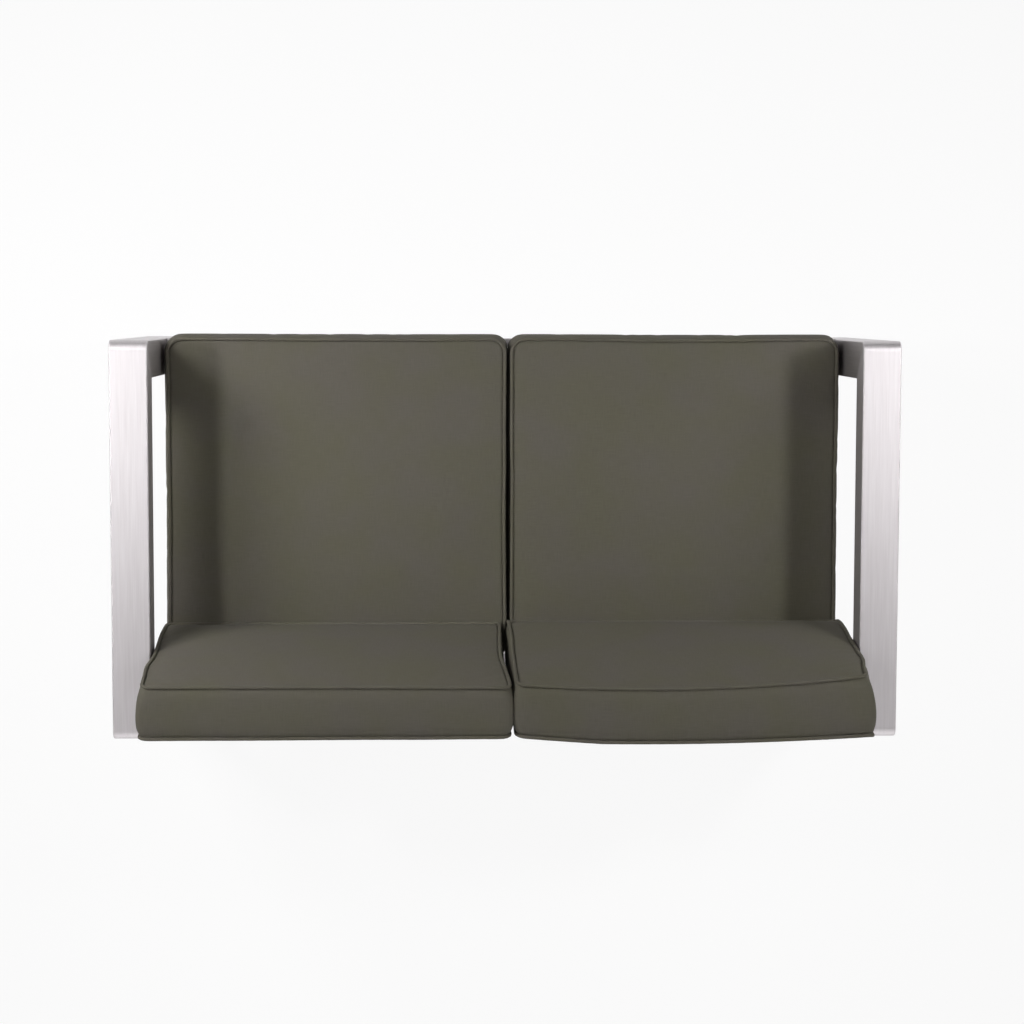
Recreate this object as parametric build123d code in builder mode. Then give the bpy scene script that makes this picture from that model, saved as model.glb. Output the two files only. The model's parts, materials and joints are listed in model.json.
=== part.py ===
from build123d import *
from math import cos, radians, sin, tan
import os

# Patio loveseat: an aluminium frame of two inverted U arms, a slatted seat deck and a slatted
# reclined back, with two loose seat cushions and two loose back cushions.
# The origin is on the floor, in the middle of the whole: the seat cushions reach a little past
# the frame in front. +Z is up, the sitter faces -Y and the sitter's left arm is at +X.

# Overall size of the frame
overall_width = 1440.0
frame_depth = 730.0
arm_height = 600.0

# Arms: one mitred tube each, welded from a rail and two legs
arm_width = 70.0
arm_thickness = 70.0
arm_wall = 2.2
arm_corner_radius = 18.0
arm_edge_radius = 2.5

# Feet: plastic plugs in the open leg ends
foot_thickness = 6.0
foot_setback = 1.0
foot_chamfer = 1.5
plug_height = 22.0
plug_ease = 0.4
plug_wall = 3.0

# Seat deck: flat tubes between the arms, with slats flush with their tops
deck_height = 290.0
rail_height = 50.0
front_rail_depth = 16.0
rail_depth = 25.0
bar_wall = 1.6
bar_edge_radius = 2.0
support_share = 1 / 3
support_width = 25.0

# Slats: the same flat tube for the seat and for the back
slat_width = 45.0
slat_thickness = 15.0
slat_wall = 1.4
slat_edge_radius = 3.0
seat_slat_least_gap = 25.0
back_slat_least_gap = 12.0

# Back panel: two stiles and two rails, leaning back between the rear legs
recline = 10.0
panel_depth = 22.0
panel_drop = 10.0
panel_setback = 36.0
panel_rail_height = 50.0
bolt_bay = 22.0

# Bolts that hold the deck and the panel to the arms, with washers and insert nuts
bolt_radius = 3.0
bolt_hole_radius = 3.3
bolt_head_radius = 5.25
bolt_head_height = 3.3
bolt_crown_radius = 2.2
socket_radius = 2.3
socket_depth = 2.0
washer_radius = 6.2
washer_thickness = 1.2
nut_radius = 4.5
nut_hole_radius = 4.55
nut_bore_radius = 3.05
nut_length = 12.0
bolt_end = 2.0
bolt_pair_share = 0.22
rail_end_gap = 10.0

# Cushions: a sewn cover round a foam core
seat_thickness = 108.0
seat_overhang = 10.0
back_thickness = 110.0
back_length = 419.0
cushion_corner_radius = 22.0
cushion_pull = 4.0
crown_reach = 110.0
corner_growth = 0.12
cover_thickness = 2.0
foam_ease = 0.5
side_gap = 3.0
centre_gap = 4.0
rear_gap = 2.0
rest_gap = 0.3
press_depth = 4.0
press_slope = 5.0
foot_press = 15.0

# Slices of a cushion from its resting face to its crowned face: height as a share of the
# thickness, inset as a share of the crown's reach, and how much of the pull its sides take
slice_shares = (
    (0.00, 0.22, 1.0),
    (0.03, 0.14, 1.0),
    (0.09, 0.10, 0.9),
    (0.25, 0.025, 0.3),
    (0.48, 0.00, 0.05),
    (0.72, 0.025, 0.3),
    (0.90, 0.10, 0.9),
    (0.95, 0.28, 1.0),
    (0.983, 0.60, 1.0),
    (1.00, 1.00, 1.0),
)

# One overrun serves every cut
overrun = 5.0

# Places worked out from the sizes above
middle_y = seat_overhang / 2
frame_front_y = middle_y - frame_depth / 2
frame_rear_y = middle_y + frame_depth / 2
arm_outer_x = overall_width / 2
arm_inner_x = arm_outer_x - arm_width
leg_reach = frame_depth / 2 - arm_thickness
arm_under_z = arm_height - arm_thickness
leg_centre_x = arm_outer_x - arm_width / 2
front_leg_y = frame_front_y + arm_thickness / 2
rear_leg_y = frame_rear_y - arm_thickness / 2
deck_under_z = deck_height - rail_height
rail_centre_z = deck_height - rail_height / 2
rail_inner_x = arm_inner_x - rail_depth
deck_front_y = frame_front_y + front_rail_depth
lean_rise = tan(radians(recline))
lean_cos = cos(radians(recline))
lean_sin = sin(radians(recline))
panel_top_z = arm_height - panel_drop
panel_top_y = frame_rear_y - panel_setback - panel_depth / lean_cos
panel_face_y = panel_top_y - (panel_top_z - deck_height) * lean_rise
cushion_width = arm_inner_x - side_gap - centre_gap / 2
cushion_centre_x = centre_gap / 2 + cushion_width / 2

os.makedirs("parts", exist_ok=True)


def keep(builder, name):
    """Name a finished piece and write it."""
    builder.part.label = name
    export_step(builder.part, f"parts/{name}.step")


# Arms. The whole inverted U is shaped first, with its corners rounded outside and its long
# edges eased, then it is hollowed and cut at the two mitres into a rail and two legs.
with BuildPart() as arm_loop:
    with BuildSketch(Plane.YZ.offset(arm_inner_x)) as loop_outline:
        with Locations((middle_y, foot_thickness)):
            Rectangle(frame_depth, arm_height - foot_thickness, align=(Align.CENTER, Align.MIN))
        fillet(loop_outline.vertices().group_by(Axis.Y)[-1], arm_corner_radius)
        with Locations((middle_y, foot_thickness)):
            Rectangle(
                2 * leg_reach,
                arm_under_z - foot_thickness,
                align=(Align.CENTER, Align.MIN),
                mode=Mode.SUBTRACT,
            )
    extrude(amount=arm_width)
    long_edges = arm_loop.faces().filter_by(Axis.X).edges()
    fillet(
        [edge for edge in long_edges if edge.center().Z > foot_thickness + arm_edge_radius],
        arm_edge_radius,
    )
    with BuildSketch(Plane.YZ.offset(arm_inner_x + arm_wall)) as loop_hollow:
        with Locations((middle_y, foot_thickness)):
            Rectangle(
                frame_depth - 2 * arm_wall,
                arm_height - foot_thickness - arm_wall,
                align=(Align.CENTER, Align.MIN),
            )
        fillet(loop_hollow.vertices().group_by(Axis.Y)[-1], arm_corner_radius - arm_wall)
        with Locations((middle_y, foot_thickness)):
            Rectangle(
                2 * (leg_reach + arm_wall),
                arm_under_z - foot_thickness + arm_wall,
                align=(Align.CENTER, Align.MIN),
                mode=Mode.SUBTRACT,
            )
    extrude(amount=arm_width - 2 * arm_wall, mode=Mode.SUBTRACT)

# The back panel's front face is one leaning plane, which starts where the rear rail's front face
# meets the deck. On this plane X is across, Y climbs the recline and the normal faces forward.
panel_plane = Plane(
    origin=(0, panel_face_y, deck_height), x_dir=(1, 0, 0), z_dir=(0, -lean_cos, lean_sin)
)
panel_length = (panel_top_z - deck_height) / lean_cos
panel_middle = panel_plane.offset(-panel_depth / 2)

# Bolt places as (y, z): a pair in each leg for the deck, below the slats, and one in each rear
# leg for the panel, on the middle line of its leaning stile, in the bay under the top rail.
side_rail_end_y = frame_rear_y - rail_end_gap
deck_bolt_z = deck_under_z + (rail_height - slat_thickness) / 2
deck_bolt_places = []
for start_y, end_y in (
    (deck_front_y, frame_front_y + arm_thickness),
    (frame_rear_y - arm_thickness, side_rail_end_y),
):
    for side in (-1, 1):
        bolt_y = (start_y + end_y) / 2 + side * bolt_pair_share * (end_y - start_y)
        deck_bolt_places.append((bolt_y, deck_bolt_z))
stile_bolt_climb = panel_length - panel_rail_height - bolt_bay / 2
stile_bolt = panel_middle.from_local_coords((0, stile_bolt_climb, 0))
bolt_places = deck_bolt_places + [(stile_bolt.Y, stile_bolt.Z)]
bolt_seats = [
    Plane(origin=(rail_inner_x, y, z), x_dir=(0, 1, 0), z_dir=(1, 0, 0)) for y, z in bolt_places
]
nut_seats = [seat.offset(rail_depth) for seat in bolt_seats]

# Side views of the three members as (y, z). The mitres run from the arm's outer corners through
# its inner ones, and each region ends past the surfaces that it doesn't cut.
front_leg_region = (
    (frame_front_y - overrun, -overrun),
    (middle_y - leg_reach + overrun, -overrun),
    (middle_y - leg_reach + overrun, arm_under_z - overrun),
    (frame_front_y - overrun, arm_height + overrun),
)
rear_leg_region = [(2 * middle_y - y, z) for y, z in front_leg_region]
rail_region = front_leg_region[3:] + front_leg_region[2:3] + (rear_leg_region[2], rear_leg_region[3])


def arm_member(region):
    """The stretch of the left arm that lies inside a side-view region, with its nut holes."""
    with BuildPart() as member:
        add(arm_loop.part)
        with BuildSketch(Plane.YZ.offset(arm_inner_x - overrun)):
            with BuildLine():
                Polyline(*region, close=True)
            make_face()
        extrude(amount=arm_width + 2 * overrun, mode=Mode.INTERSECT)
        with BuildSketch(*[seat.offset(-overrun) for seat in nut_seats]):
            Circle(nut_hole_radius)
        extrude(amount=overrun + arm_wall + overrun, mode=Mode.SUBTRACT)
    return member


def keep_pair(left, name):
    """Write a left-hand piece and its mirror image on the right."""
    keep(left, f"left_{name}")
    with BuildPart() as right:
        mirror(left.part, about=Plane.YZ)
    keep(right, f"right_{name}")


keep_pair(arm_member(rail_region), "arm_rail")
keep_pair(arm_member(front_leg_region), "front_leg")
keep_pair(arm_member(rear_leg_region), "rear_leg")

# Feet: a square glide under the leg with a hollow plug that fits inside the tube
with BuildPart() as foot:
    glide_size = arm_width - 2 * foot_setback
    glide_length = arm_thickness - 2 * foot_setback
    plug_size = arm_width - 2 * arm_wall - 2 * plug_ease
    plug_length = arm_thickness - 2 * arm_wall - 2 * plug_ease
    with BuildSketch():
        RectangleRounded(glide_size, glide_length, arm_edge_radius)
    extrude(amount=foot_thickness)
    chamfer(foot.faces().sort_by(Axis.Z)[0].edges(), foot_chamfer)
    with BuildSketch(Plane.XY.offset(foot_thickness)):
        Rectangle(plug_size, plug_length)
        Rectangle(plug_size - 2 * plug_wall, plug_length - 2 * plug_wall, mode=Mode.SUBTRACT)
    extrude(amount=plug_height)

for end, end_y in (("front", front_leg_y), ("rear", rear_leg_y)):
    with BuildPart() as left_foot:
        with Locations((leg_centre_x, end_y, 0)):
            add(foot.part)
    keep_pair(left_foot, f"{end}_foot")


def flat_tube(section_plane, width, height, length, wall, radius):
    """A hollow flat tube: its section lies on the plane and it runs along the plane's normal."""
    with BuildPart() as tube:
        with BuildSketch(section_plane):
            RectangleRounded(width, height, radius)
            Rectangle(width - 2 * wall, height - 2 * wall, mode=Mode.SUBTRACT)
        extrude(amount=length)
    return tube


def across(y, z, start_x):
    """Section plane for a tube that runs across the loveseat: its width is along Y."""
    return Plane(origin=(start_x, y, z), x_dir=(0, 1, 0), z_dir=(1, 0, 0))


def along(x, z, start_y):
    """Section plane for a tube that runs from front to rear: its width is along X."""
    return Plane(origin=(x, start_y, z), x_dir=(-1, 0, 0), z_dir=(0, 1, 0))


# Seat deck: front and rear rails, side rails bolted to the legs, two supports and the slats
front_rail_y = frame_front_y + front_rail_depth / 2
front_seat_rail = flat_tube(
    across(front_rail_y, rail_centre_z, -arm_inner_x),
    front_rail_depth,
    rail_height,
    2 * arm_inner_x,
    bar_wall,
    bar_edge_radius,
)
keep(front_seat_rail, "front_seat_rail")

rear_seat_rail = flat_tube(
    across(panel_face_y + rail_depth / 2, rail_centre_z, -rail_inner_x),
    rail_depth,
    rail_height,
    2 * rail_inner_x,
    bar_wall,
    bar_edge_radius,
)
keep(rear_seat_rail, "rear_seat_rail")

side_rail_length = side_rail_end_y - deck_front_y
with BuildPart() as side_seat_rail:
    side_rail_x = arm_inner_x - rail_depth / 2
    add(
        flat_tube(
            along(side_rail_x, rail_centre_z, deck_front_y),
            rail_depth,
            rail_height,
            side_rail_length,
            bar_wall,
            bar_edge_radius,
        ).part
    )
    with BuildSketch(*[seat.offset(-overrun) for seat in bolt_seats[: len(deck_bolt_places)]]):
        Circle(bolt_hole_radius)
    extrude(amount=rail_depth + 2 * overrun, mode=Mode.SUBTRACT)
keep_pair(side_seat_rail, "side_seat_rail")

support_height = rail_height - slat_thickness
seat_support = flat_tube(
    along(support_share * rail_inner_x, deck_under_z + support_height / 2, deck_front_y),
    support_width,
    support_height,
    panel_face_y - deck_front_y,
    bar_wall,
    bar_edge_radius,
)
keep_pair(seat_support, "seat_support")

deck_span = panel_face_y - deck_front_y
seat_slat_count = int(deck_span // (slat_width + seat_slat_least_gap))
slat_gap = (deck_span - seat_slat_count * slat_width) / (seat_slat_count + 1)
for number in range(1, seat_slat_count + 1):
    slat_y = deck_front_y + number * slat_gap + (number - 0.5) * slat_width
    seat_slat = flat_tube(
        across(slat_y, deck_height - slat_thickness / 2, -rail_inner_x),
        slat_width,
        slat_thickness,
        2 * rail_inner_x,
        slat_wall,
        slat_edge_radius,
    )
    keep(seat_slat, f"seat_slat_{number}")

# Back panel: two stiles that stand on the side rails, two rails and the slats between them


def panel_bar(climb, height, depth, wall, radius):
    """A flat tube between the stiles, its middle this far up the panel, flush with its face."""
    middle = panel_plane.offset(-depth / 2)
    start = middle.from_local_coords((-rail_inner_x, climb, 0))
    section = Plane(origin=start, x_dir=panel_plane.y_dir, z_dir=(1, 0, 0))
    return flat_tube(section, height, depth, 2 * rail_inner_x, wall, radius)


with BuildPart() as stile:
    stile_start = panel_middle.from_local_coords((arm_inner_x - rail_depth / 2, -rail_height, 0))
    stile_section = Plane(origin=stile_start, x_dir=(1, 0, 0), z_dir=panel_plane.y_dir)
    stile_run = rail_height + panel_length
    add(
        flat_tube(
            stile_section, rail_depth, panel_depth, stile_run, bar_wall, bar_edge_radius
        ).part
    )
    with BuildSketch(*[seat.offset(-overrun) for seat in bolt_seats[len(deck_bolt_places) :]]):
        Circle(bolt_hole_radius)
    extrude(amount=rail_depth + 2 * overrun, mode=Mode.SUBTRACT)
    split(bisect_by=Plane.XY.offset(deck_height), keep=Keep.TOP)
keep_pair(stile, "back_stile")

top_climb = panel_length - panel_rail_height / 2
bottom_climb = panel_depth * lean_rise + panel_rail_height / 2
back_top_rail = panel_bar(top_climb, panel_rail_height, panel_depth, bar_wall, bar_edge_radius)
keep(back_top_rail, "back_top_rail")
back_bottom_rail = panel_bar(
    bottom_climb, panel_rail_height, panel_depth, bar_wall, bar_edge_radius
)
keep(back_bottom_rail, "back_bottom_rail")

back_open_span = top_climb - bottom_climb - panel_rail_height - bolt_bay
back_slat_count = int(back_open_span // (slat_width + back_slat_least_gap))
back_slat_gap = (back_open_span - back_slat_count * slat_width) / back_slat_count
for number in range(1, back_slat_count + 1):
    slat_climb = (
        bottom_climb
        + panel_rail_height / 2
        + number * back_slat_gap
        + (number - 0.5) * slat_width
    )
    back_slat = panel_bar(slat_climb, slat_width, slat_thickness, slat_wall, slat_edge_radius)
    keep(back_slat, f"back_slat_{number}")

# Fasteners. Each bolt's head and washer are on the inside of a rail or stile, and its end turns
# in an insert nut that is set flush in the leg's wall.
with BuildPart() as bolt:
    with BuildSketch(Plane.XY.offset(-washer_thickness - bolt_head_height)):
        Circle(bolt_head_radius)
    extrude(amount=bolt_head_height)
    fillet(bolt.edges().group_by(Axis.Z)[0], bolt_crown_radius)
    with BuildSketch(Plane.XY.offset(-washer_thickness - bolt_head_height)):
        RegularPolygon(socket_radius, side_count=6)
    extrude(amount=socket_depth, mode=Mode.SUBTRACT)
    with BuildSketch(Plane.XY.offset(-washer_thickness)):
        Circle(bolt_radius)
    extrude(amount=washer_thickness + rail_depth + nut_length - bolt_end)

with BuildPart() as frame_bolts:
    with Locations(*bolt_seats):
        add(bolt.part)
    mirror(about=Plane.YZ)
keep(frame_bolts, "frame_bolts")

with BuildPart() as bolt_washers:
    with BuildSketch(*bolt_seats):
        Circle(washer_radius)
        Circle(bolt_hole_radius, mode=Mode.SUBTRACT)
    extrude(amount=-washer_thickness)
    mirror(about=Plane.YZ)
keep(bolt_washers, "bolt_washers")

with BuildPart() as insert_nuts:
    with BuildSketch(*nut_seats):
        Circle(nut_radius)
        Circle(nut_bore_radius, mode=Mode.SUBTRACT)
    extrude(amount=nut_length)
    mirror(about=Plane.YZ)
keep(insert_nuts, "insert_nuts")


def soft_form(base, width, length, thickness, inset):
    """A cushion's rounded body, ruled through slices stacked on its resting plane.

    Each slice is a rectangle whose sides are shallow arcs drawn in between rounded corners. The
    inset makes the whole body smaller all round, for the cover's inside and the foam.
    """
    with BuildPart() as form:
        for rise_share, inset_share, pull_share in slice_shares:
            rise = inset + (thickness - 2 * inset) * rise_share
            edge = inset + crown_reach * inset_share
            half_width = width / 2 - edge
            half_length = length / 2 - edge
            pull = cushion_pull * pull_share
            corner = cushion_corner_radius - inset + corner_growth * edge
            with BuildSketch(base.offset(rise)) as form_slice:
                with BuildLine():
                    for turn in range(4):
                        reach, span = (
                            (half_width, half_length) if turn % 2 == 0 else (half_length, half_width)
                        )
                        start = Vector(reach, -span).rotate(Axis.Z, 90 * turn)
                        middle = Vector(reach - pull, 0).rotate(Axis.Z, 90 * turn)
                        end = Vector(reach, span).rotate(Axis.Z, 90 * turn)
                        ThreePointArc(start, middle, end)
                make_face()
                fillet(form_slice.vertices(), corner)
        loft(ruled=True)
    return form.part


# Seat cushions lie on the slats, between the back panel and a little past the front rail. Their
# rear strip is pressed to a slope where the back cushions stand on it.
seat_front_y = frame_front_y - seat_overhang
seat_rear_y = panel_face_y - rear_gap
seat_length = seat_rear_y - seat_front_y
seat_base = Plane(origin=(cushion_centre_x, (seat_front_y + seat_rear_y) / 2, deck_height + rest_gap))

# Back cushions lean on the panel and stand on the pressed strip. The strip's plane passes under
# the line where a back cushion's front face would meet the seat.
foot_z = deck_height + rest_gap + seat_thickness - press_depth
front_foot_climb = (foot_z - deck_height - back_thickness * lean_sin) / lean_cos
back_foot_y = panel_plane.from_local_coords((0, front_foot_climb, back_thickness)).Y
press_plane = Plane(
    origin=(0, back_foot_y, foot_z),
    x_dir=(1, 0, 0),
    z_dir=(0, sin(radians(press_slope)), cos(radians(press_slope))),
)
back_bottom_climb = front_foot_climb - foot_press
back_base = Plane(
    origin=panel_plane.from_local_coords(
        (cushion_centre_x, back_bottom_climb + back_length / 2, rest_gap)
    ),
    x_dir=panel_plane.x_dir,
    z_dir=panel_plane.z_dir,
)


def seat_form(inset):
    """The seat cushion's body, with its rear strip pressed to a slope."""
    with BuildPart() as form:
        add(soft_form(seat_base, cushion_width, seat_length, seat_thickness, inset))
        split(bisect_by=press_plane.offset(-inset), keep=Keep.BOTTOM)
    return form.part


def back_form(inset):
    """The back cushion's body, cut along the pressed strip at its foot."""
    with BuildPart() as form:
        add(soft_form(back_base, cushion_width, back_length, back_thickness, inset))
        split(bisect_by=press_plane.offset(rest_gap + inset), keep=Keep.TOP)
    return form.part


for place, cushion_form in (("seat", seat_form), ("back", back_form)):
    with BuildPart() as cover:
        add(cushion_form(0))
        add(cushion_form(cover_thickness), mode=Mode.SUBTRACT)
    keep_pair(cover, f"{place}_cushion_cover")
    with BuildPart() as foam:
        add(cushion_form(cover_thickness + foam_ease))
    keep_pair(foam, f"{place}_cushion_foam")
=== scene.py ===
import json
from math import cos, pi, radians, sin

import bpy
import numpy as np
from mathutils import Euler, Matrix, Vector


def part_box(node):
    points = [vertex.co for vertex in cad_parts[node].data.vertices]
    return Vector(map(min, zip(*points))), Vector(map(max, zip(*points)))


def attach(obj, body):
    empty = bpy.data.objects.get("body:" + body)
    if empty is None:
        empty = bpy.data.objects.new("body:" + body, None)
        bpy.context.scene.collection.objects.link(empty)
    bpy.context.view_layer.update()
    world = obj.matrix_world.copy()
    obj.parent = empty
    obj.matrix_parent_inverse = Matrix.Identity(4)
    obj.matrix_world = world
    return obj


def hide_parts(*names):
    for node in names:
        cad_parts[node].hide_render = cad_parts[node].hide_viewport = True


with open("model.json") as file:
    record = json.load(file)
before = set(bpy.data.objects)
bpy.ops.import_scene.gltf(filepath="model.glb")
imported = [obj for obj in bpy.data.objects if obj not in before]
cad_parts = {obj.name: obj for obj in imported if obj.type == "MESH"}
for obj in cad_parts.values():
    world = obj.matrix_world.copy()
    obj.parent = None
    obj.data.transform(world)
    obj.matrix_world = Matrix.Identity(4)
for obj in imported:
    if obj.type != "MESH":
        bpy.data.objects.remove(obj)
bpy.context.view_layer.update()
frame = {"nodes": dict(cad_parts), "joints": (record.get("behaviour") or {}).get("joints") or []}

mm = 0.001
scene = bpy.context.scene

# Camera. The loveseat is seen from high above and a little in front, square to its width, through
# a lens of about 84 mm on a 36 mm sensor. The sitter's left arm is on the left of the picture.
camera_place = (133 * mm, -419 * mm, 4922 * mm)
camera_turn_degrees = (-4.902, -1.876, -179.880)
focal_length_px = 2380
picture_width_px = 1024
sensor_width_mm = 36
farthest_seen = 60

lens = bpy.data.cameras.new("camera")
lens.sensor_width = sensor_width_mm
lens.lens = sensor_width_mm * focal_length_px / picture_width_px
lens.clip_end = farthest_seen
camera = bpy.data.objects.new("camera", lens)
camera.location = camera_place
camera.rotation_euler = Euler([radians(angle) for angle in camera_turn_degrees])
scene.collection.objects.link(camera)
scene.camera = camera


# Arm tubes and legs. Two upside-down U frames of flat-sided aluminium tube, mitred and welded at
# the corners, ground flush, brushed along their length and clear anodised.
def linear(colour):
    """A hex colour as linear red, green, blue and alpha."""
    shares = [int(colour[i:i + 2], 16) / 255 for i in (1, 3, 5)]
    return [s / 12.92 if s <= 0.04045 else ((s + 0.055) / 1.055) ** 2.4 for s in shares] + [1]


def add_node(tree, kind, values=None, links=None, **settings):
    """Add one shader node: its own settings, the values of its sockets, and the links into them."""
    added = tree.nodes.new(kind)
    for name, value in settings.items():
        setattr(added, name, value)
    for socket, value in (values or {}).items():
        added.inputs[socket].default_value = value
    for socket, source in (links or {}).items():
        tree.links.new(source, added.inputs[socket])
    return added


def new_material(name):
    """An empty material with its shader and output joined, as (material, tree, shader)."""
    material = bpy.data.materials.new(name)
    material.use_nodes = True
    tree = material.node_tree
    tree.nodes.clear()
    shader = add_node(tree, "ShaderNodeBsdfPrincipled")
    add_node(tree, "ShaderNodeOutputMaterial", links={"Surface": shader.outputs["BSDF"]})
    return material, tree, shader


def brushed_aluminium(name, grain, least_rough=0.5):
    """Aluminium brushed along the direction given by grain.

    The fine scratches are noise stretched 60 mm along the grain and 0.7 mm across it, wider than
    real ones so that they show. Broader bands, 4 mm across, vary the brightness a little, as the
    abrasive belt leaves them. The scratches raise the roughness by 0.08 over its least value.
    """
    scratch = (0.7 * mm, 60 * mm)
    belt_band = (4 * mm, 160 * mm)
    scratch_depth = 0.15 * mm
    material, tree, shader = new_material(name)
    place = add_node(tree, "ShaderNodeTexCoord").outputs["Object"]
    turn = Vector((0, 1, 0)).rotation_difference(Vector(grain)).inverted().to_euler()
    turned = add_node(tree, "ShaderNodeMapping", {"Rotation": turn}, {"Vector": place})
    layers = []
    for across, along in (scratch, belt_band):
        stretch = (1 / across, 1 / along, 1 / across)
        scaled = add_node(
            tree, "ShaderNodeMapping", {"Scale": stretch}, {"Vector": turned.outputs[0]}
        )
        noise = add_node(
            tree, "ShaderNodeTexNoise", {"Scale": 1, "Detail": 2}, {"Vector": scaled.outputs[0]}
        )
        layers.append(noise.outputs["Fac"])
    fine, bands = layers
    mixed = add_node(tree, "ShaderNodeMix", {0: 0.5}, {2: fine, 3: bands}, data_type="FLOAT")
    colour = add_node(tree, "ShaderNodeValToRGB", links={"Fac": mixed.outputs[0]})
    colour.color_ramp.elements[0].position = 0.3
    colour.color_ramp.elements[0].color = linear("#c4bfc1")
    colour.color_ramp.elements[1].position = 0.7
    colour.color_ramp.elements[1].color = linear("#d2ced0")
    tree.links.new(colour.outputs[0], shader.inputs["Base Color"])
    rough = add_node(
        tree, "ShaderNodeMapRange", {"To Min": least_rough, "To Max": least_rough + 0.08}, {0: fine}
    )
    tree.links.new(rough.outputs[0], shader.inputs["Roughness"])
    relief = add_node(
        tree, "ShaderNodeBump", {"Strength": 0.35, "Distance": scratch_depth}, {"Height": fine}
    )
    tree.links.new(relief.outputs[0], shader.inputs["Normal"])
    shader.inputs["Metallic"].default_value = 1
    return material


def finish(names, material):
    """Give the named CAD pieces this material."""
    for name in names:
        piece = frame["nodes"][name]
        piece.data.materials.clear()
        piece.data.materials.append(material)


# The legs are brushed a little finer than the arms, so the mitre lines between them show.
sides = ("left", "right")
leg_least_rough = 0.4
lift_axis = next(
    joint["axis"] for joint in frame["joints"] if joint["name"] == "left_back_cushion_lift"
)
aluminium_across = brushed_aluminium("aluminium_brushed_across", (1, 0, 0))
aluminium_deep = brushed_aluminium("aluminium_brushed_deep", (0, 1, 0))
aluminium_upright = brushed_aluminium("aluminium_brushed_upright", (0, 0, 1), leg_least_rough)
aluminium_leaning = brushed_aluminium("aluminium_brushed_leaning", lift_axis)
finish([f"{side}_arm_rail" for side in sides], aluminium_deep)
finish([f"{side}_{end}_leg" for side in sides for end in ("front", "rear")], aluminium_upright)


# Feet. Moulded polypropylene plugs pressed into the open lower ends of the legs, dark grey with
# the fine pitted skin that a spark-eroded mould leaves.
def moulded_plastic(name, colour):
    """Moulded plastic with 0.8 mm pits of low relief and a soft sheen."""
    pit = 0.8 * mm
    pit_depth = 0.1 * mm
    material, tree, shader = new_material(name)
    place = add_node(tree, "ShaderNodeTexCoord").outputs["Object"]
    pits = add_node(
        tree, "ShaderNodeTexNoise", {"Scale": 1 / pit, "Detail": 1}, {"Vector": place}
    )
    relief = add_node(
        tree,
        "ShaderNodeBump",
        {"Strength": 0.4, "Distance": pit_depth},
        {"Height": pits.outputs["Fac"]},
    )
    rough = add_node(
        tree,
        "ShaderNodeMapRange",
        {"To Min": 0.45, "To Max": 0.6},
        {"Value": pits.outputs["Fac"]},
    )
    tree.links.new(relief.outputs[0], shader.inputs["Normal"])
    tree.links.new(rough.outputs[0], shader.inputs["Roughness"])
    shader.inputs["Base Color"].default_value = linear(colour)
    return material


foot_plastic = moulded_plastic("polypropylene_dark_grey", "#2c2b2b")
finish([f"{side}_{end}_foot" for side in sides for end in ("front", "rear")], foot_plastic)


# Deck. Front and rear rails, side rails, two supports and eight slats, all of aluminium tube,
# welded into one unit and bolted between the arms. The cushions lie on it.
seat_slats = sorted(n for n in frame["nodes"] if n.startswith("seat_slat_"))
finish(["front_seat_rail", "rear_seat_rail"] + seat_slats, aluminium_across)
finish(
    [f"{side}_{kind}" for side in sides for kind in ("side_seat_rail", "seat_support")],
    aluminium_deep,
)


# Side rail plugs. Thin caps of the feet's plastic, pressed into the rear ends of the side rails,
# which end in the open beside the rear legs.
def plug_mesh(middle, half_wide, half_high, wall):
    """A capped rectangular sleeve: rounded rectangles carried along y and closed at both ends.

    Each ring is (how far behind the rail's end, how far inside its outline, corner radius). The
    corners are quarter circles of 6 points, 24 around.
    """
    around = 24
    turn = np.linspace(0, 2 * pi, around, endpoint=False) + pi / around
    corner = np.stack([np.sign(np.cos(turn)), np.sign(np.sin(turn))], -1)
    rings = []
    for behind, inside, radius in (
        (-5 * mm, wall + 0.5 * mm, 0.6 * mm),
        (0, wall + 0.1 * mm, 0.6 * mm),
        (0, 0, 2 * mm),
        (1.6 * mm, 0, 2 * mm),
        (2.2 * mm, 0.3 * mm, 1.8 * mm),
        (2.5 * mm, 1 * mm, 1.5 * mm),
    ):
        half = np.array([half_wide, half_high]) - inside - radius
        outline = corner * half + radius * np.stack([np.cos(turn), np.sin(turn)], -1)
        rings.append(np.stack([outline[:, 0], np.full(around, behind), outline[:, 1]], -1))
    grid = np.arange(around * len(rings)).reshape(len(rings), around)
    low, high = grid[:-1], grid[1:]
    faces = np.stack([low, high, np.roll(high, -1, 1), np.roll(low, -1, 1)], -1).reshape(-1, 4)
    caps = [grid[0].tolist(), grid[-1][::-1].tolist()]
    return np.concatenate(rings) + middle, faces.tolist() + caps


rail_wall = 1.6 * mm
for side in sides:
    low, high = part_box(f"{side}_side_seat_rail")
    middle = np.array([(low.x + high.x) / 2, high.y, (low.z + high.z) / 2])
    points, faces = plug_mesh(middle, (high.x - low.x) / 2, (high.z - low.z) / 2, rail_wall)
    plug_shape = bpy.data.meshes.new(f"{side}_side_rail_plug")
    plug_shape.from_pydata(points.tolist(), [], faces)
    plug_shape.materials.append(foot_plastic)
    plug = bpy.data.objects.new(f"{side}_side_rail_plug", plug_shape)
    scene.collection.objects.link(plug)
    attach(plug, "frame")


# Back panel. Two stiles with a top rail, a bottom rail and three slats, welded, leaning back by
# 10 degrees between the arms.
back_slats = sorted(n for n in frame["nodes"] if n.startswith("back_slat_"))
finish(["back_top_rail", "back_bottom_rail"] + back_slats, aluminium_across)
finish([f"{side}_back_stile" for side in sides], aluminium_leaning)


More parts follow.
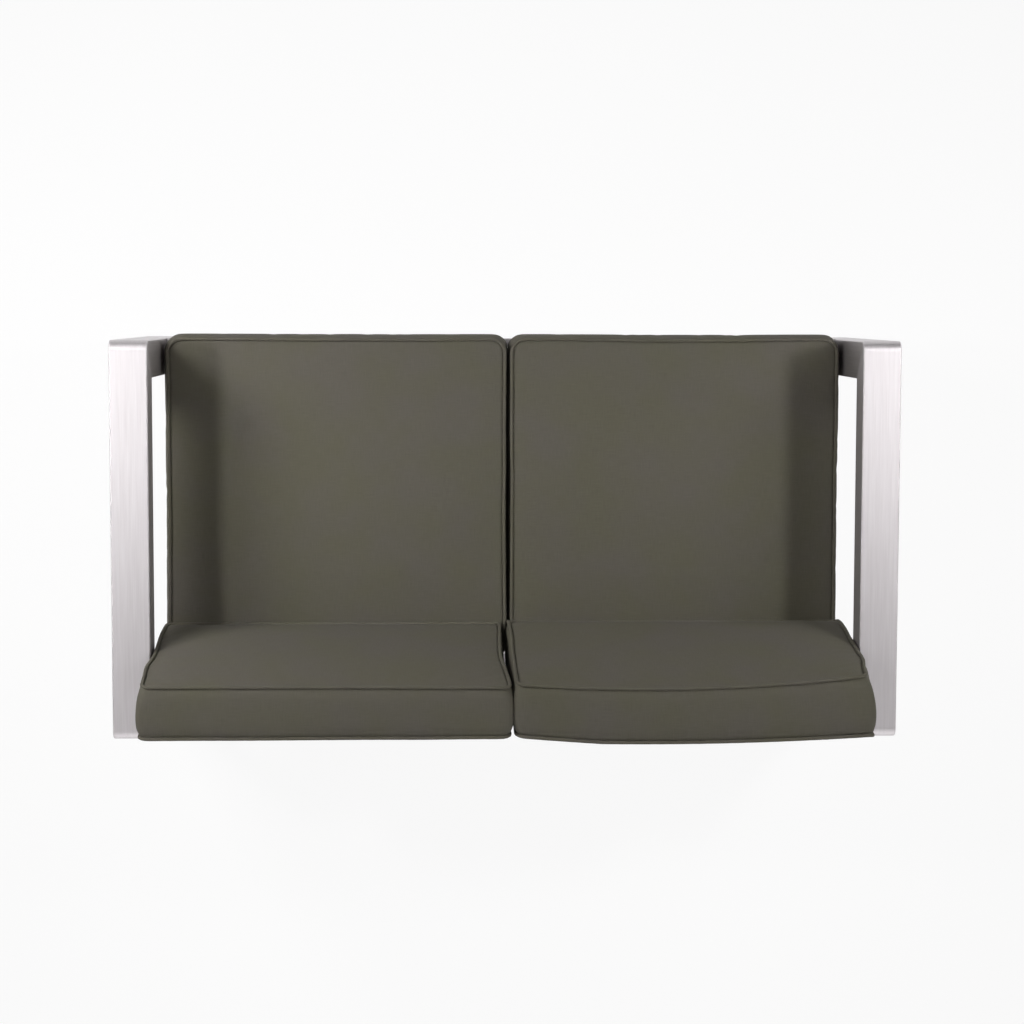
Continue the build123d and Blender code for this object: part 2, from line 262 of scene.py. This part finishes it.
# Fasteners. Zinc-plated steel bolts, washers and insert nuts, bluish white from the passivated
# plating, with a fine uneven crystal in the shine.
def plated_steel(name):
    """Zinc-plated steel: brightness and roughness vary over 2 mm spots."""
    spot = 2 * mm
    material, tree, shader = new_material(name)
    place = add_node(tree, "ShaderNodeTexCoord").outputs["Object"]
    spots = add_node(
        tree, "ShaderNodeTexNoise", {"Scale": 1 / spot, "Detail": 3}, {"Vector": place}
    )
    colour = add_node(tree, "ShaderNodeValToRGB", links={"Fac": spots.outputs["Fac"]})
    colour.color_ramp.elements[0].color = linear("#a9afb4")
    colour.color_ramp.elements[1].color = linear("#cfd2d3")
    rough = add_node(
        tree,
        "ShaderNodeMapRange",
        {"To Min": 0.25, "To Max": 0.42},
        {"Value": spots.outputs["Fac"]},
    )
    tree.links.new(colour.outputs[0], shader.inputs["Base Color"])
    tree.links.new(rough.outputs[0], shader.inputs["Roughness"])
    shader.inputs["Metallic"].default_value = 1
    return material


finish(["frame_bolts", "bolt_washers", "insert_nuts"], plated_steel("steel_zinc_plated"))


# Cushion cloth. Solution-dyed polyester canvas in olive grey, plain weave, dull, with slightly
# uneven threads. Threads are 0.6 mm apart on the real cloth and 1.4 mm here, so that they show.
def woven_canvas(name):
    """Plain-weave canvas on a UV map in metres.

    The height is the product of two sine waves, one along each set of threads, so each crossing
    rises where its neighbours dip. Stretched noise, 25 mm long and a thread wide, makes some
    threads thicker and darker than others. The dye drifts between two close tones over 110 mm.
    """
    thread = 1.4 * mm
    slub_length = 25 * mm
    relief_depth = 0.25 * mm
    drifts_per_metre = 9
    material, tree, shader = new_material(name)
    cut = add_node(tree, "ShaderNodeUVMap", uv_map="cut").outputs[0]
    threads = add_node(
        tree,
        "ShaderNodeVectorMath",
        {1: (pi / thread,) * 3},
        {0: cut},
        operation="MULTIPLY",
    )
    waves = add_node(
        tree, "ShaderNodeVectorMath", links={0: threads.outputs[0]}, operation="SINE"
    )
    split = add_node(tree, "ShaderNodeSeparateXYZ", links={0: waves.outputs[0]})
    weave = add_node(
        tree,
        "ShaderNodeMath",
        links={0: split.outputs["X"], 1: split.outputs["Y"]},
        operation="MULTIPLY",
    )
    slubs = []
    for along, across in ((slub_length, thread), (thread, slub_length)):
        scaled = add_node(
            tree, "ShaderNodeMapping", {"Scale": (1 / along, 1 / across, 1)}, {"Vector": cut}
        )
        noise = add_node(
            tree, "ShaderNodeTexNoise", {"Scale": 1, "Detail": 1}, {"Vector": scaled.outputs[0]}
        )
        slubs.append(noise.outputs["Fac"])
    slub = add_node(
        tree, "ShaderNodeMath", links={0: slubs[0], 1: slubs[1]}, operation="ADD"
    )
    height = add_node(
        tree,
        "ShaderNodeMath",
        {1: 0.25},
        {0: weave.outputs[0], 2: slub.outputs[0]},
        operation="MULTIPLY_ADD",
    )
    relief = add_node(
        tree,
        "ShaderNodeBump",
        {"Strength": 0.3, "Distance": relief_depth},
        {"Height": height.outputs[0]},
    )
    tree.links.new(relief.outputs[0], shader.inputs["Normal"])
    place = add_node(tree, "ShaderNodeTexCoord").outputs["Object"]
    drift = add_node(
        tree, "ShaderNodeTexNoise", {"Scale": drifts_per_metre, "Detail": 2}, {"Vector": place}
    )
    tone = add_node(tree, "ShaderNodeValToRGB", links={"Fac": drift.outputs["Fac"]})
    tone.color_ramp.elements[0].position = 0.35
    tone.color_ramp.elements[0].color = linear("#5f5b53")
    tone.color_ramp.elements[1].position = 0.65
    tone.color_ramp.elements[1].color = linear("#5e5b4e")
    grain = add_node(
        tree,
        "ShaderNodeMapRange",
        {"From Max": 2, "To Min": 0.8, "To Max": 1.2},
        {"Value": slub.outputs[0]},
    )
    colour = add_node(
        tree,
        "ShaderNodeVectorMath",
        links={0: tone.outputs[0], 1: grain.outputs[0]},
        operation="MULTIPLY",
    )
    tree.links.new(colour.outputs[0], shader.inputs["Base Color"])
    shader.inputs["Roughness"].default_value = 0.85
    shader.inputs["Specular IOR Level"].default_value = 0.2
    shader.inputs["Sheen Weight"].default_value = 0.03
    shader.inputs["Sheen Roughness"].default_value = 0.5
    return material


canvas = woven_canvas("canvas_olive_grey")


# Seat cushions. Box cushions of reticulated foam in sewn canvas covers: a top and a bottom panel,
# a boxing strip round the sides and piped seams. The cover is cut a little small, so the foam
# rounds it out between the seams. They lie loose on the slats.
def span(node, direction):
    """The lowest and highest reach of a CAD node along a direction, in metres."""
    mesh = frame["nodes"][node].data
    points = np.empty(len(mesh.vertices) * 3)
    mesh.vertices.foreach_get("co", points)
    reach = points.reshape(-1, 3) @ np.array(direction)
    return reach.min(), reach.max()


def ease_under(values, limit, ease):
    """Bend values that rise past limit - ease so that they near limit and never pass it."""
    start = limit - ease
    bent = limit - ease * np.exp((start - np.maximum(values, start)) / ease)
    return np.where(values > start, bent, values)


def smooth_step(share):
    """0 below 0, 1 above 1, and 3 s^2 - 2 s^3 between."""
    share = np.clip(share, 0, 1)
    return share ** 2 * (3 - 2 * share)


def waver(places, seed, size):
    """A slow uneven wave along 0..1: four sines, each weaker than the one before."""
    random = np.random.default_rng(seed)
    wave = sum(
        sin_share * np.sin(turns * pi * places + random.uniform(0, 2 * pi))
        for turns, sin_share in ((2, 1), (3, 0.7), (5, 0.5), (8, 0.3))
    )
    return size * wave / 2.5


def cover_mesh(wide, long, thick, corner, pull, puff, uneven, seed):
    """The flat-pattern cushion cover before filling, centred on x and y and standing on z = 0.

    Both panels are one square grid. Its corner squares are bent to quarter discs: with p and q
    running 0..1 across the square, x = p sqrt(1 - q^2 / 2) and y = q sqrt(1 - p^2 / 2), times the
    corner radius. The sides are drawn in by the pull times the cosine along the side, and waver.
    The boxing joins the panels' outlines. The UV map holds the cloth's own metres.
    Returns points, faces, UVs of the face corners, and the rings of the bottom and top seams.
    """
    step = 8.5 * mm
    half = np.array([wide / 2, long / 2])
    count = [int(round(side / step)) + 1 for side in (wide, long)]
    x, y = np.meshgrid(*(np.linspace(-h, h, c) for h, c in zip(half, count)), indexing="ij")
    flat = np.stack([x, y], -1)
    core = half - corner
    p, q = np.moveaxis(np.clip((abs(flat) - core) / corner, 0, 1), -1, 0)
    bent = np.stack([p * np.sqrt(1 - q * q / 2), q * np.sqrt(1 - p * p / 2)], -1) * corner
    panel = np.sign(flat) * (np.minimum(abs(flat), core) + bent)
    shares = flat / half
    for axis in (0, 1):
        along = shares[..., 1 - axis]
        drawn = pull * np.cos(pi / 2 * along) + waver(along / 2 + 0.5, seed + axis, uneven)
        panel[..., axis] -= drawn * shares[..., axis] ** 3
    n, m = count
    grid = np.arange(n * m).reshape(n, m)
    ring = np.concatenate([grid[:, 0], grid[-1, 1:], grid[-2::-1, -1], grid[0, -2:0:-1]])
    rows = max(4, int(round(thick / step)))
    lift = waver(np.linspace(0, 1, len(ring), endpoint=False), seed + 2, uneven)
    edge = panel.reshape(-1, 2)[ring]
    tangent = np.roll(edge, -1, 0) - np.roll(edge, 1, 0)
    outward = np.stack([tangent[:, 1], -tangent[:, 0]], -1)
    outward /= np.linalg.norm(outward, axis=1, keepdims=True)
    heights = np.zeros((n * m, 1))
    bottom = np.concatenate([panel.reshape(-1, 2), heights], 1)
    heights[ring, 0] = lift
    top = np.concatenate([panel.reshape(-1, 2), thick + heights], 1)
    walls = []
    for share in np.arange(1, rows) / rows:
        wall = edge + 4 * share * (1 - share) * puff * outward
        walls.append(np.concatenate([wall, (thick * share + lift * share)[:, None]], 1))
    points = np.concatenate([bottom, top] + walls)
    top_ring = ring + n * m
    wall_start = 2 * n * m
    rings = [ring] + [wall_start + k * len(ring) + np.arange(len(ring)) for k in range(rows - 1)]
    rings.append(top_ring)
    square = np.stack([grid[:-1, :-1], grid[1:, :-1], grid[1:, 1:], grid[:-1, 1:]], -1)
    square = square.reshape(-1, 4)
    faces = [square[:, ::-1], square + n * m]
    plan = flat.reshape(-1, 2)
    cuts = [plan[square[:, ::-1]], plan[square] + [2 * wide, 0]]
    length = np.concatenate([[0], np.cumsum(np.linalg.norm(np.roll(edge, -1, 0) - edge, axis=1))])
    for k in range(rows):
        low, high = rings[k], rings[k + 1]
        faces.append(np.stack([low, np.roll(low, -1), np.roll(high, -1), high], -1))
        u = np.stack([length[:-1], length[1:], length[1:], length[:-1]], -1)
        v = np.array([k, k, k + 1, k + 1]) * thick / rows - 2 * long
        cuts.append(np.stack([u, np.broadcast_to(v, u.shape)], -1))
    return points, np.concatenate(faces), np.concatenate(cuts), ring, top_ring


def new_piece(name, points, faces, cuts, material):
    """A smooth mesh object from points and quads, with the UV map named cut."""
    mesh = bpy.data.meshes.new(name)
    mesh.from_pydata(points.tolist(), [], faces.tolist())
    mesh.uv_layers.new(name="cut").data.foreach_set("uv", cuts.reshape(-1))
    mesh.materials.append(material)
    mesh.shade_smooth()
    piece = bpy.data.objects.new(name, mesh)
    scene.collection.objects.link(piece)
    return piece


def fill(piece, seams):
    """Fill the cover: cloth under pressure for 20 frames with its seams held, as new points.

    The cloth gives by half a percent.
    """
    frames = 20
    give_share = 0.005
    count = len(piece.data.vertices)
    filled = np.empty(count * 3)
    piece.vertex_groups.new(name="seams").add(seams.tolist(), 1, "REPLACE")
    cloth = piece.modifiers.new("filling", "CLOTH")
    cloth.point_cache.frame_end = frames
    settings = cloth.settings
    settings.quality = 5
    settings.vertex_group_mass = "seams"
    settings.use_pressure = True
    settings.uniform_pressure_force = 4
    settings.shrink_min = -give_share
    settings.effector_weights.gravity = 0
    for frame_number in range(1, frames + 1):
        scene.frame_set(frame_number)
    evaluated = piece.evaluated_get(bpy.context.evaluated_depsgraph_get())
    evaluated.data.vertices.foreach_get("co", filled)
    piece.modifiers.remove(cloth)
    piece.vertex_groups.clear()
    scene.frame_set(1)
    return filled.reshape(-1, 3)


def piping(name, path, outward, radius, material):
    """A closed cord in cloth along a seam: a circle of 10 points carried along the path.

    The circle lies in the plane across the path, and its centre stands off the seam by half the
    radius. The radius wavers by 4 percent, as the cloth is gathered round the cord.
    """
    sides = 10
    gathers = 60
    gather_share = 0.04
    ahead = np.roll(path, -1, 0) - np.roll(path, 1, 0)
    ahead /= np.linalg.norm(ahead, axis=1, keepdims=True)
    out = outward - (outward * ahead).sum(1, keepdims=True) * ahead
    out /= np.linalg.norm(out, axis=1, keepdims=True)
    across = np.cross(out, ahead)
    turn = np.linspace(0, 2 * pi, sides, endpoint=False)
    centre = path + out * radius * 0.5
    places = np.linspace(0, 1, len(path), endpoint=False) * gathers
    thickness = radius * (1 + waver(places, 7, gather_share))
    ring =np.cos(turn)[:, None, None] * out + np.sin(turn)[:, None, None] * across
    points = centre + ring * thickness[:, None]
    grid = np.arange(sides * len(path)).reshape(sides, len(path))
    beside, on = np.roll(grid, -1, 0), np.roll(grid, -1, 1)
    faces = np.stack([grid, on, np.roll(on, -1, 0), beside], -1).reshape(-1, 4)
    length = np.concatenate([[0], np.cumsum(np.linalg.norm(np.roll(path, -1, 0) - path, axis=1))])
    u = np.stack([length[:-1], length[1:], length[1:], length[:-1]], -1)
    u = np.broadcast_to(u, (sides,) + u.shape).reshape(-1, 4)
    girth = 2 * pi * radius * (np.arange(sides)[:, None, None] + np.array([0, 0, 1, 1])) / sides
    v = np.broadcast_to(girth, (sides, len(path), 4)).reshape(-1, 4)
    return new_piece(name, points.reshape(-1, 3), faces, np.stack([u, v], -1), material)


def set_points(piece, points):
    """Put new points into a piece's mesh."""
    piece.data.vertices.foreach_set("co", points.reshape(-1))
    piece.data.update()


# Seams lie inside the cushion's room on the deck, by less where the two cushions meet. Under the
# back cushion the seat's rear strip is pressed to a slope. The top welts stand off their seams
# upwards too, by welt_tilt times as much as outwards.
welt_radius = 3.2 * mm
welt_tilt = 0.7
seam_inset = 11 * mm
gap_inset = 7 * mm
seat_gap_x = -8.5 * mm
half_gap = 0.2 * mm
seat_corner = 26 * mm
seat_pull = 2 * mm
seat_puff = 12 * mm
seat_uneven = 1.2 * mm
seat_crown = 12 * mm
seat_low_seam = 6 * mm
seat_top_seam = 99 * mm
seat_under_ease = 3 * mm
seat_side_eases = (1.5 * mm, 3 * mm)
strip_slope_degrees = 5
strip_normal = (0, sin(radians(strip_slope_degrees)), cos(radians(strip_slope_degrees)))
strip_gap = 0.4 * mm
strip_ease = 4 * mm

for number, side in enumerate(sides):
    cover_node = f"{side}_seat_cushion_cover"
    low, high = (np.array(end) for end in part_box(cover_node))
    inner = int(side == "right")
    towards_left = 1 - 2 * inner
    (low, high)[inner][0] = seat_gap_x + towards_left * half_gap
    seam_low, seam_high = low + seam_inset, high - seam_inset
    (seam_low, seam_high)[inner][0] = seat_gap_x + towards_left * gap_inset
    seam_size = seam_high - seam_low
    points, faces, cuts, low_seam, top_seam = cover_mesh(
        seam_size[0], seam_size[1], seat_top_seam - seat_low_seam,
        seat_corner, seat_pull, seat_puff, seat_uneven, 10 + 10 * number,
    )
    points += [*(seam_low + seam_high)[:2] / 2, low[2] + seat_low_seam]
    cover = new_piece(cover_node + "_sewn", points, faces, cuts, canvas)
    points = fill(cover, np.concatenate([low_seam, top_seam]))
    points[:, 2] = ease_under(points[:, 2], low[2] + seat_top_seam + seat_crown, seat_crown)
    points[:, 2] = -ease_under(-points[:, 2], -low[2], seat_under_ease)
    for axis, ease in enumerate(seat_side_eases):
        points[:, axis] = ease_under(points[:, axis], high[axis], ease)
        points[:, axis] = -ease_under(-points[:, axis], -low[axis], ease)
    strip_reach = span(f"{side}_back_cushion_cover", strip_normal)[0] - strip_gap
    strip_z = (strip_reach - points[:, 1] * strip_normal[1]) / strip_normal[2]
    points[:, 2] = ease_under(points[:, 2], strip_z, strip_ease)
    set_points(cover, points)
    swell = cover.modifiers.new("smooth", "SUBSURF")
    swell.levels = swell.render_levels = 1
    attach(cover, f"{side}_seat_cushion")
    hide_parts(cover_node, f"{side}_seat_cushion_foam")
    for place, seam in (("bottom", low_seam), ("top", top_seam)):
        path = points[seam]
        outward = path - (low + high) / 2
        outward[:, 2] = 0
        outward /= np.linalg.norm(outward, axis=1, keepdims=True)
        outward[:, 2] = welt_tilt if place == "top" else 0
        welt = piping(f"{side}_seat_cushion_{place}_welt", path, outward, welt_radius, canvas)
        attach(welt, f"{side}_seat_cushion")


# Back cushions. Made like the seat cushions, they stand on the seat cushions' rear strip and lean
# on the back panel. Above the arms and the panel they swell freely. The right one has slumped a
# little: its outer end leans forward and its middle back.
climb = np.array(lift_axis)
front = np.array((0, -lift_axis[2], lift_axis[1]))
cushion_axes = np.array([(1, 0, 0), climb, front])
back_corner = 16 * mm
back_pull = 2 * mm
back_puff = 14 * mm
back_uneven = 1.5 * mm
back_seam_inset = 8 * mm
back_rear_seam = 6 * mm
back_front_seam = 98 * mm
back_crown = 18 * mm
back_ease = 4 * mm

# The front panel bellies out above the foot and is tucked in at the foot. The rear panel swells
# above the top rail, over 60 mm, and less in the last share below the top seam and in the quarter
# at the inner end.
rear_crown = 20 * mm
rail_ease = 60 * mm
top_seam_share = 0.06
inner_end_share = 0.25
belly_share = 0.16
belly_swell = {"left": -1 * mm, "right": 8 * mm}
foot_tuck = 7 * mm
rear_swell = {"left": 3 * mm, "right": 16 * mm}

# The outer end spreads by four amounts: from the foot up, above the arm, near the top, and near
# the top at the front. The inner end of the upper half shifts. The slump is a start, a rise and a
# turn in y across the width. It grows with the height, and is half as much at the rear.
inner_shift = {"left": -11 * mm, "right": -4 * mm}
foot_share = 0.3
upper_half = 0.5
arm_ease = 90 * mm
spread = {
    "left": (5 * mm, 8 * mm, 0, -7.5 * mm),
    "right": (6 * mm, 9 * mm, -6 * mm, -19 * mm),
}
slump = {"left": (0, 0, 0), "right": (-5 * mm, 52 * mm, -66 * mm)}
slump_growth = 1.5
rear_slump = 0.5
arm_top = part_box("left_arm_rail")[1].z
rail_climb = span("back_top_rail", climb)[1]

for number, side in enumerate(sides):
    cover_node = f"{side}_back_cushion_cover"
    low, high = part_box(cover_node)
    rear_reach = span(cover_node, front)[0]
    low_reach, high_reach = span(cover_node, climb)
    wide, long = high.x - low.x, high_reach - low_reach
    points, faces, cuts, rear_seam, front_seam = cover_mesh(
        wide - 2 * back_seam_inset, long - 2 * back_seam_inset, back_front_seam - back_rear_seam,
        back_corner, back_pull, back_puff, back_uneven, 40 + 10 * number,
    )
    origin = np.array([(low.x + high.x) / 2, 0, 0])
    origin = origin + climb * (low_reach + high_reach) / 2 + front * rear_reach
    points[:, 2] += back_rear_seam
    points = points @ cushion_axes + origin
    cover = new_piece(cover_node + "_sewn", points, faces, cuts, canvas)
    points = fill(cover, np.concatenate([rear_seam, front_seam]))
    local = (points - origin) @ cushion_axes.T
    outward_x = 1 if side == "left" else -1
    across = local[:, 0] / wide * outward_x + 0.5
    up = np.clip(local[:, 1] / long + 0.5, 0, 1)
    above_rail = smooth_step((local[:, 1] + origin @ climb - rail_climb) / rail_ease)
    share_front = np.clip(local[:, 2] / back_front_seam, 0, 1)
    belly = up / belly_share * np.exp(1 - up / belly_share)
    at_foot = (1 - belly) * (up < belly_share)
    local[:, 2] += share_front ** 2 * (belly * belly_swell[side] - foot_tuck * at_foot)
    below_seam = np.sqrt(np.clip((1 - up) / top_seam_share, 0, 1))
    top_belly = below_seam * above_rail * np.clip(across / inner_end_share, 0, 1)
    local[:, 2] -= (1 - share_front) ** 2 * rear_swell[side] * top_belly
    local[:, 2] = ease_under(local[:, 2], back_front_seam + back_crown, back_crown)
    local[:, 2] = -ease_under(-local[:, 2], rear_crown * above_rail, back_ease)
    for axis, half in ((0, wide / 2), (1, long / 2)):
        local[:, axis] = ease_under(local[:, axis], half, back_ease)
        local[:, axis] = -ease_under(-local[:, axis], half, back_ease)
    points = local @ cushion_axes + origin
    above_arm = smooth_step((points[:, 2] - arm_top) / arm_ease)
    near_top = smooth_step((up - upper_half) / (1 - upper_half))
    rises = (smooth_step(up / foot_share), above_arm, near_top, near_top * share_front ** 2)
    outer_shift = sum(reach * rise for reach, rise in zip(spread[side], rises)) * across ** 2
    points[:, 0] += outer_shift * outward_x
    points[:, 0] += inner_shift[side] * (1 - across) ** 4 * near_top
    start, rise, turn = slump[side]
    share_rear = 1 - (1 - rear_slump) * (1 - share_front)
    leaning = start + rise * across + turn * across ** 2
    points[:, 1] += leaning * up ** slump_growth * share_rear
    strip_reach = span(cover_node, strip_normal)[0]
    strip_z = (strip_reach - points[:, 1] * strip_normal[1]) / strip_normal[2]
    points[:, 2] = -ease_under(-points[:, 2], -strip_z, strip_ease)
    set_points(cover, points)
    swell = cover.modifiers.new("smooth", "SUBSURF")
    swell.levels = swell.render_levels = 1
    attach(cover, f"{side}_back_cushion")
    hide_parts(cover_node, f"{side}_back_cushion_foam")
    for place, seam in (("rear", rear_seam), ("front", front_seam)):
        path = points[seam]
        outward = path - points[seam].mean(0)
        outward -= (outward @ front)[:, None] * front
        outward /= np.linalg.norm(outward, axis=1, keepdims=True)
        outward += (welt_tilt if place == "front" else 0) * front
        welt = piping(f"{side}_back_cushion_{place}_welt", path, outward, welt_radius, canvas)
        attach(welt, f"{side}_back_cushion")


# Floor and light. A white floor that fills the picture and keeps a faint shadow. Two small lamps
# high on the left and right throw the arms' shadows on the seats, and two larger ones below them
# reach in under the arms. A wide one overhead and a wider one behind shine along the arms, and the
# rest is even. The metal mirrors pale walls, a dimmer one in front and a dim ceiling.
def seen_ray(tree):
    """1 for camera, glossy and transmission rays, 0 for the rest."""
    path = add_node(tree, "ShaderNodeLightPath")
    seen = path.outputs["Is Camera Ray"]
    for kind in ("Is Glossy Ray", "Is Transmission Ray"):
        seen = add_node(
            tree, "ShaderNodeMath", links={0: seen, 1: path.outputs[kind]}, operation="MAXIMUM"
        ).outputs[0]
    return seen


floor_reach = 30
floor_glow = 0.9
floor_material, tree, shader = new_material("floor_white")
shader.inputs["Base Color"].default_value = linear("#ffffff")
shader.inputs["Roughness"].default_value = 0.9
glow = add_node(tree, "ShaderNodeEmission", {"Color": linear("#ffffff"), "Strength": 1})
share = add_node(
    tree, "ShaderNodeMath", {1: floor_glow}, {0: seen_ray(tree)}, operation="MULTIPLY"
)
mixed = add_node(
    tree,
    "ShaderNodeMixShader",
    links={0: share.outputs[0], 1: shader.outputs[0], 2: glow.outputs[0]},
)
tree.links.new(mixed.outputs[0], tree.get_output_node("ALL").inputs["Surface"])
corners = [(x * floor_reach, y * floor_reach, 0) for x, y in ((-1, -1), (1, -1), (1, 1), (-1, 1))]
floor_mesh = bpy.data.meshes.new("floor")
floor_mesh.from_pydata(corners, [], [(0, 1, 2, 3)])
floor_mesh.materials.append(floor_material)
floor = bpy.data.objects.new("floor", floor_mesh)
scene.collection.objects.link(floor)


def area_lamp(name, place, aim, size, power, spread=180):
    """A square soft lamp at place, facing aim, whose beam opens by spread degrees."""
    lamp = bpy.data.lights.new(name, "AREA")
    lamp.size = size
    lamp.energy = power
    lamp.spread = radians(spread)
    holder = bpy.data.objects.new(name, lamp)
    holder.location = place
    holder.rotation_euler = (Vector(aim) - Vector(place)).to_track_quat("-Z", "Y").to_euler()
    scene.collection.objects.link(holder)


area_lamp("left_key", (1.62, -0.48, 2.3), (0.4, -0.1, 0.4), 0.2, 3.0, 70)
area_lamp("right_key", (-1.58, -0.6, 2.3), (-0.4, -0.1, 0.4), 0.25, 3.0, 70)
area_lamp("left_low", (1.6, -1.0, 1.5), (0.4, 0, 0.4), 0.5, 8, 120)
area_lamp("right_low", (-1.6, -1.0, 1.5), (-0.4, 0, 0.4), 0.5, 2.5, 120)
area_lamp("overhead", (0, -2.0, 6.0), (0, 0, 0.4), 2.4, 5)
area_lamp("rear", (0, 3.0, 2.0), (0, 0.3, 0.4), 4.0, 46)

surround = bpy.data.worlds.new("surround")
surround.use_nodes = True
tree = surround.node_tree
direction = add_node(tree, "ShaderNodeTexCoord").outputs["Generated"]
parts = add_node(tree, "ShaderNodeSeparateXYZ", links={0: direction}).outputs
wall = add_node(
    tree,
    "ShaderNodeMapRange",
    {"From Min": 0.2, "From Max": 0.45, "To Min": 1, "To Max": 0.34},
    {0: parts["Z"]},
)
front_wall = add_node(
    tree,
    "ShaderNodeMapRange",
    {"From Min": -0.85, "From Max": -0.3, "To Min": 0.15, "To Max": 1},
    {0: parts["Y"]},
)
mirrored = add_node(tree, "ShaderNodeLightPath").outputs["Is Glossy Ray"]
front_share = add_node(tree, "ShaderNodeMix", {2: 1}, {0: mirrored, 3: front_wall.outputs[0]})
wall = add_node(
    tree,
    "ShaderNodeMath",
    links={0: wall.outputs[0], 1: front_share.outputs[0]},
    operation="MULTIPLY",
)
strength = add_node(tree, "ShaderNodeMix", {2: 0.12}, {0: seen_ray(tree), 3: wall.outputs[0]})
background = tree.nodes["Background"]
background.inputs["Color"].default_value = linear("#ffffff")
tree.links.new(strength.outputs[0], background.inputs["Strength"])
scene.world = surround
scene.view_settings.view_transform = "Standard"
